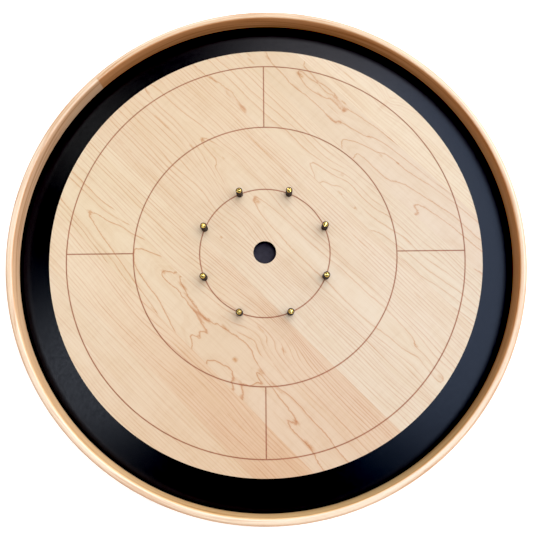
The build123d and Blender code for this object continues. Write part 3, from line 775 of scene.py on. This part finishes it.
def leaf_mesh(cells, low_mm, high_mm):
    """Closed solid of one leaf: its cells at the top or at the scored lines' floor, walls and underside."""
    chosen = [f for f in cells.faces if low_mm < f.calc_center_median().dot(ACROSS_GRAIN) * 1000 < high_mm]
    level = {f: DECK_TOP - SCORE_DEPTH if scored(f.calc_center_median()) else DECK_TOP for f in chosen}
    mesh = bmesh.new()
    made = {}

    def vertex(source, z):
        key = (source.index, round(z, 7))
        if key not in made:
            made[key] = mesh.verts.new((source.co.x, source.co.y, z))
        return made[key]

    def add(corners, groove=False):
        face = mesh.faces.new(corners)
        face.material_index = 1 if groove else 0

    for face, z in level.items():
        add([vertex(v, z) for v in face.verts], z < DECK_TOP)
        add([vertex(v, CORE_TOP) for v in reversed(face.verts)])
        for loop in face.loops:
            first, second = loop.vert, loop.link_loop_next.vert
            others = [f for f in loop.edge.link_faces if f is not face and f in level]
            below = level[others[0]] if others else CORE_TOP
            if below < z:
                wall = [vertex(second, z), vertex(first, z), vertex(first, below), vertex(second, below)]
                add(wall, bool(others))
    return mesh


def draw_growth(made, number):
    """Store the figure's level and slopes at each vertex, for the maple material."""
    mesh = made.data
    spots = np.zeros(len(mesh.vertices) * 3)
    mesh.vertices.foreach_get("co", spots)
    spots = spots.reshape(-1, 3) * 1000
    u = spots[:, 0] * cos(GRAIN_ANGLE) + spots[:, 1] * sin(GRAIN_ANGLE)
    v = spots[:, 1] * cos(GRAIN_ANGLE) - spots[:, 0] * sin(GRAIN_ANGLE)
    growth = mesh.attributes.new("growth", "FLOAT_VECTOR", "POINT")
    growth.data.foreach_set("vector", Contours(FIGURE_LINES[number]).at(u, v).ravel())


burnt = burnt_line()
cells = deck_cells()
cells.verts.index_update()
leaf_edges = (-DECK_RADIUS * 1000,) + LEAF_SEAMS_MM + (DECK_RADIUS * 1000,)
for number, (low, high) in enumerate(zip(leaf_edges[:-1], leaf_edges[1:]), start=1):
    source = leaf_mesh(cells, low, high)
    node = f"face_veneer_leaf_{number}"
    made = piece(f"maple_leaf_{number}", source, [maple(number), burnt], replaces=[node])
    draw_growth(made, number)
cells.free()


# ---- deck core and backing, base board ------------------------------------------------------------------
def ring_section(inner, outer, low, high, ease):
    """Rectangle in a section, with its corners cut by ease."""
    return [(inner + ease, low), (outer - ease, low), (outer, low + ease), (outer, high - ease),
            (outer - ease, high), (inner + ease, high), (inner, high - ease), (inner, low + ease)]


def paint_node(name, material):
    """Give a CAD node its material."""
    slots = frame["nodes"][name].data.materials
    slots.clear()
    slots.append(material)


black_edge = plain("black_edge", EDGE_PAINT, roughness=0.42, spread=0.25, scale_mm=14.0,
                   specular_ior_level=0.3)
core = turned(ring_section(HOLE_RADIUS, DECK_RADIUS, BACKING_TOP, CORE_TOP, CORE_EASE), TURN_STEPS)
sharpen(piece("painted_core", core, [black_edge], replaces=["deck_core"]))
backing = turned(ring_section(HOLE_RADIUS, DECK_RADIUS, RISER_TOP, BACKING_TOP, BACKING_EASE), TURN_STEPS)
sharpen(piece("backing_sheet", backing, [black_edge], replaces=["deck_backing_veneer"]))

satin_black = plain("satin_black", BLACK_PAINT, roughness=0.24, spread=0.2, scale_mm=30.0, bump_mm=0.01,
                    specular_ior_level=0.15)
# The riser shows as the hole's floor; its paint's lighter grey is a painted sheen.
matt_black_and_sheen = plain("matt_black_and_sheen", MATT_PAINT_AND_SHEEN, roughness=0.6, spread=0.15, scale_mm=9.0,
                   specular_ior_level=0.15)
paint_node("base_board", satin_black)
paint_node("deck_riser", matt_black_and_sheen)


# ---- rim ------------------------------------------------------------------------------------------------
def rim_ply(name, node, inner, rounded_side, joint_angle, material):
    """One bent strip, with the rounding on its inner or outer side, open at its joint."""
    outer = inner + RIM_PLY
    foot = RIM_FOOT_ROUND
    if rounded_side == "inner":
        top = RIM_INNER_EDGE_ROUND
        section = [(outer, RIM_BOTTOM), (outer, RIM_TOP)]
        section += arc((inner + top, RIM_TOP - top), top, 90, 180, SMALL_ROUND_STEPS)
        section += arc((inner + foot, RIM_BOTTOM + foot), foot, 180, 270, SMALL_ROUND_STEPS)
    else:
        top = RIM_OUTER_EDGE_ROUND
        section = [(inner, RIM_TOP), (inner, RIM_BOTTOM)]
        section += arc((outer - foot, RIM_BOTTOM + foot), foot, 270, 360, SMALL_ROUND_STEPS)
        section += arc((outer - top, RIM_TOP - top), top, 0, 90, OUTER_ROUND_STEPS)
    gap = RIM_JOINT_GAP / inner
    mesh = turned(section, TURN_STEPS, start=joint_angle + gap / 2, sweep=2 * pi - gap)
    return sharpen(piece(name, mesh, [material], replaces=[node]))


# The inner ply's wall tones run from lit to shaded round the board: partly its own tone, partly painted light
# and shade. Both plies' pale tops are painted light.
inner_wall_tones_and_shade, outer_tones = (PINKISH, GOLDEN, BROWNISH_AND_SHADE), (GOLDEN, PINKISH, GOLDEN)
inner_wood = rim_wood("rim_inner_wood", INNER_JOINT_ANGLE, inner_wall_tones_and_shade, (LIT_TOP_PALE, SHADED_TOP_TAN), 3, painted=1.0)
outer_wood = rim_wood("rim_outer_wood", OUTER_JOINT_ANGLE, outer_tones, (LIT_TOP_PALE, LIT_TOP_PALE), 8)
rim_ply("bent_inner_ply", "rim_inner_ply", BASE_RADIUS, "inner", INNER_JOINT_ANGLE, inner_wood)
rim_ply("bent_outer_ply", "rim_outer_ply", BASE_RADIUS + RIM_PLY, "outer", OUTER_JOINT_ANGLE, outer_wood)

# ---- small hardware: CAD shapes, better finishes --------------------------------------------------------
brass = plain("brass", srgb(238, 204, 120), roughness=0.24, spread=0.3, scale_mm=2.0, metallic=1.0,
              bump_mm=0.06)
sleeve_rubber = plain("sleeve_rubber", srgb(40, 29, 33), roughness=0.6, spread=0.25, scale_mm=3.0,
                      specular_ior_level=0.25)
foot_rubber = plain("foot_rubber", srgb(34, 33, 33), roughness=0.7, spread=0.2, scale_mm=4.0)
zinc = plain("zinc", srgb(186, 186, 180), roughness=0.35, spread=0.15, scale_mm=3.0, metallic=1.0)
nickel = plain("nickel", srgb(200, 196, 186), roughness=0.25, spread=0.12, scale_mm=5.0, metallic=1.0)
for number in range(1, POST_COUNT + 1):
    paint_node(f"post_screw_{number}", brass)
    paint_node(f"post_sleeve_{number}", sleeve_rubber)
for number in range(1, FOOT_COUNT + 1):
    paint_node(f"foot_{number}", foot_rubber)
for name in ("deck_screws", "foot_screws", "hanger_screws"):
    paint_node(name, zinc)
for name in ("hanger_strap", "hanger_ring"):
    paint_node(name, nickel)


# ---- floor, light and camera ----------------------------------------------------------------------------
TABLE_REACH = 8.0
TABLE_DROP = 0.0002            # the table lies this far below the feet
TABLE_GLOW = 0.45              # light that the table gives off itself

# Lamps that light bodies but don't show in gloss: direction, distance, width, share of the light, colour.
BODY_LAMPS = {
    "window": ((0.72, 0.66, 1.0), 6.5, 12.0, 1.16, (1.0, 0.99, 0.97)),
    "overhead": ((0.05, 0.10, 1.0), 5.0, 9.0, 0.69, (1.0, 0.98, 0.95)),
    "bounce": ((-0.70, -0.70, 0.40), 6.0, 6.0, 0.06, (1.0, 0.92, 0.86)),
}
# Lamps that only show in gloss, as slopes of the ray from straight up: lean, spread, brightness, colour.
GLOSS_LAMPS = {
    "blue_wall": ((0.42, 0.18), 0.43, 6.6, (0.56, 0.69, 1.0)),
    "grey_ceiling": ((0.09, 0.50), 0.19, 6.5, (0.98, 0.94, 1.0)),
    "left_window": ((-0.36, -0.05), 0.14, 7.7, (0.80, 0.86, 1.0)),
    "left_ceiling": ((-0.35, 0.42), 0.10, 3.8, (1.0, 1.0, 1.0)),
    "bright_window": ((1.0, 0.80), 0.30, 14.0, (1.0, 0.97, 0.90)),
}
GLOSS_LAMP_DISTANCE = 6.0
SKY_LOW, SKY_HIGH = 0.10, 0.70           # upward parts of the direction between which the sky changes
SKY_HORIZON, SKY_ZENITH = 0.60, 0.03     # its brightness
SKY_COLOR = (1.0, 0.985, 0.97, 1.0)
BLACK_LEVEL = 0.011

LENS_MM, SENSOR_MM = 37.949, 36.0
CAMERA_RIGHT, CAMERA_BACK = 0.0129, -0.1548
CAMERA_HEIGHT = 0.8435         # above the deck
CAMERA_TURN_DEGREES = (8.948, 0.781, -0.457)


def studio():
    """A white table that keeps its brightness where the board shades it."""
    graph = Graph("white_table")
    x, y, z = graph.place()
    soft = graph.noise((x, 400), (y, 400), z)
    shade = graph.blend(soft, srgb(247, 247, 247), srgb(250, 250, 250))
    graph.shader.inputs["Emission Color"].default_value = (1.0, 1.0, 1.0, 1.0)
    graph.shader.inputs["Emission Strength"].default_value = TABLE_GLOW
    material = graph.finish(shade, 0.9)
    mesh = bpy.data.meshes.new("table")
    sides = ((-1, -1), (1, -1), (1, 1), (-1, 1))
    corners = [(TABLE_REACH * right, TABLE_REACH * back, 0) for right, back in sides]
    mesh.from_pydata(corners, [], [(0, 1, 2, 3)])
    mesh.materials.append(material)
    table = bpy.data.objects.new("table", mesh)
    table.location.z = -TABLE_DROP
    bpy.context.scene.collection.objects.link(table)


def area_light(name, toward, distance, size, light, color, in_gloss):
    """A round lamp that gives the deck a share of its light, 1 being a white surface at full brightness. It
    shows either only in gloss or only on bodies."""
    data = bpy.data.lights.new(name, "AREA")
    data.shape = "DISK"
    data.size = size
    data.energy = light * pi ** 2 * distance ** 2 / toward.z
    data.color = color
    made = bpy.data.objects.new(name, data)
    made.location = toward * distance
    made.rotation_euler = (-toward).to_track_quat("-Z", "Y").to_euler()
    made.visible_glossy = in_gloss
    made.visible_diffuse = not in_gloss
    bpy.context.scene.collection.objects.link(made)


def sky():
    """Soft light from all round, brighter toward the horizon than overhead."""
    world = bpy.data.worlds.new("studio")
    world.use_nodes = True
    tree = world.node_tree
    direction = tree.nodes.new("ShaderNodeTexCoord")
    split = tree.nodes.new("ShaderNodeSeparateXYZ")
    ramp = tree.nodes.new("ShaderNodeMapRange")
    ramp.interpolation_type = "SMOOTHSTEP"
    tree.links.new(direction.outputs["Generated"], split.inputs[0])
    tree.links.new(split.outputs[2], ramp.inputs["Value"])
    ramp.inputs["From Min"].default_value = SKY_LOW
    ramp.inputs["From Max"].default_value = SKY_HIGH
    ramp.inputs["To Min"].default_value = SKY_HORIZON
    ramp.inputs["To Max"].default_value = SKY_ZENITH
    background = tree.nodes["Background"]
    tree.links.new(ramp.outputs[0], background.inputs[1])
    background.inputs[0].default_value = SKY_COLOR
    bpy.context.scene.world = world


def lights():
    for name, (direction, distance, size, share, color) in BODY_LAMPS.items():
        area_light(name, Vector(direction).normalized(), distance, size, share, color, in_gloss=False)
    distance = GLOSS_LAMP_DISTANCE
    for name, (lean, spread, brightness, color) in GLOSS_LAMPS.items():
        toward = Vector((*lean, 1.0)).normalized()
        size = 2 * distance * spread * toward.z
        share = brightness * size ** 2 * toward.z / (4 * distance ** 2)
        area_light(name, toward, distance, size, share, color, in_gloss=True)
    sky()
    view = bpy.context.scene.view_settings
    view.view_transform = "Standard"
    view.use_curve_mapping = True
    view.curve_mapping.black_level = (BLACK_LEVEL, BLACK_LEVEL, BLACK_LEVEL)
    view.curve_mapping.update()


def camera():
    data = bpy.data.cameras.new("camera")
    data.lens = LENS_MM
    data.sensor_width = SENSOR_MM
    made = bpy.data.objects.new("camera", data)
    made.location = (CAMERA_RIGHT, CAMERA_BACK, DECK_TOP + CAMERA_HEIGHT)
    made.rotation_euler = [radians(angle) for angle in CAMERA_TURN_DEGREES]
    bpy.context.scene.collection.objects.link(made)
    bpy.context.scene.camera = made


studio()
lights()
camera()
